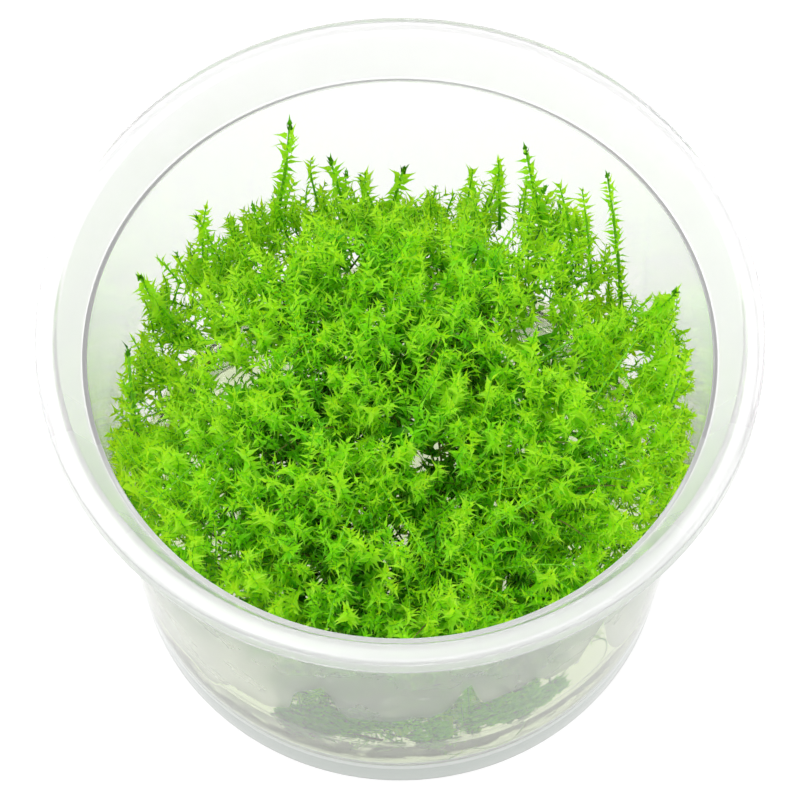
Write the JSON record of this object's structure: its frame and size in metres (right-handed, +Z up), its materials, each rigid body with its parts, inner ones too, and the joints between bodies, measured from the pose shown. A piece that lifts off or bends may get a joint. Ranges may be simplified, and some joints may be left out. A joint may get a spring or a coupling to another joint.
{
  "type": "potted stringy moss",
  "caption": "Tangle of stringy aquarium moss with leafy upright shoots on clear gel, in an open round see-through plastic cup with a flanged rim.",
  "frame": {"origin": "centre of the foot ring that the cup stands on, at floor level", "axes": "+Z up through the mouth; +X to the right and +Y away from the camera of the picture"},
  "size_m": [0.1, 0.1, 0.069],
  "materials": {
    "clear_cup": "thin clear polypropylene with a slight milky haze, smooth and glossy",
    "clear_gel": "clear nutrient gel with a faint green tint and a wet surface",
    "moss_stems": "dark green to olive old stems and leaves, damp",
    "moss_leaves": "bright lime green thin leaves that let light through, damp"
  },
  "bodies": {
    "root": {"cup": "clear_cup", "gel": "clear_gel", "moss_tangle": "moss_stems", "moss_shoot_01": "moss_leaves", "moss_shoot_02": "moss_leaves", "moss_shoot_03": "moss_leaves", "moss_shoot_04": "moss_leaves", "moss_shoot_05": "moss_leaves", "moss_shoot_06": "moss_leaves", "moss_shoot_07": "moss_leaves", "moss_shoot_08": "moss_leaves", "moss_shoot_09": "moss_leaves", "moss_shoot_10": "moss_leaves", "moss_shoot_11": "moss_leaves", "moss_shoot_12": "moss_leaves", "moss_shoot_13": "moss_leaves", "moss_shoot_14": "moss_leaves", "moss_shoot_15": "moss_leaves", "moss_shoot_16": "moss_leaves", "moss_shoot_17": "moss_leaves", "moss_shoot_18": "moss_leaves", "moss_shoot_19": "moss_leaves", "moss_shoot_20": "moss_leaves", "moss_shoot_21": "moss_leaves", "moss_shoot_22": "moss_leaves", "moss_shoot_23": "moss_leaves", "moss_shoot_24": "moss_leaves", "moss_shoot_25": "moss_leaves", "moss_shoot_26": "moss_leaves", "moss_shoot_27": "moss_leaves", "moss_shoot_28": "moss_leaves", "moss_shoot_29": "moss_leaves", "moss_shoot_30": "moss_leaves", "moss_shoot_31": "moss_leaves", "moss_shoot_32": "moss_leaves", "moss_shoot_33": "moss_leaves", "moss_shoot_34": "moss_leaves", "moss_shoot_35": "moss_leaves", "moss_shoot_36": "moss_leaves", "moss_shoot_37": "moss_leaves", "moss_shoot_38": "moss_leaves"}
  },
  "joints": []
}
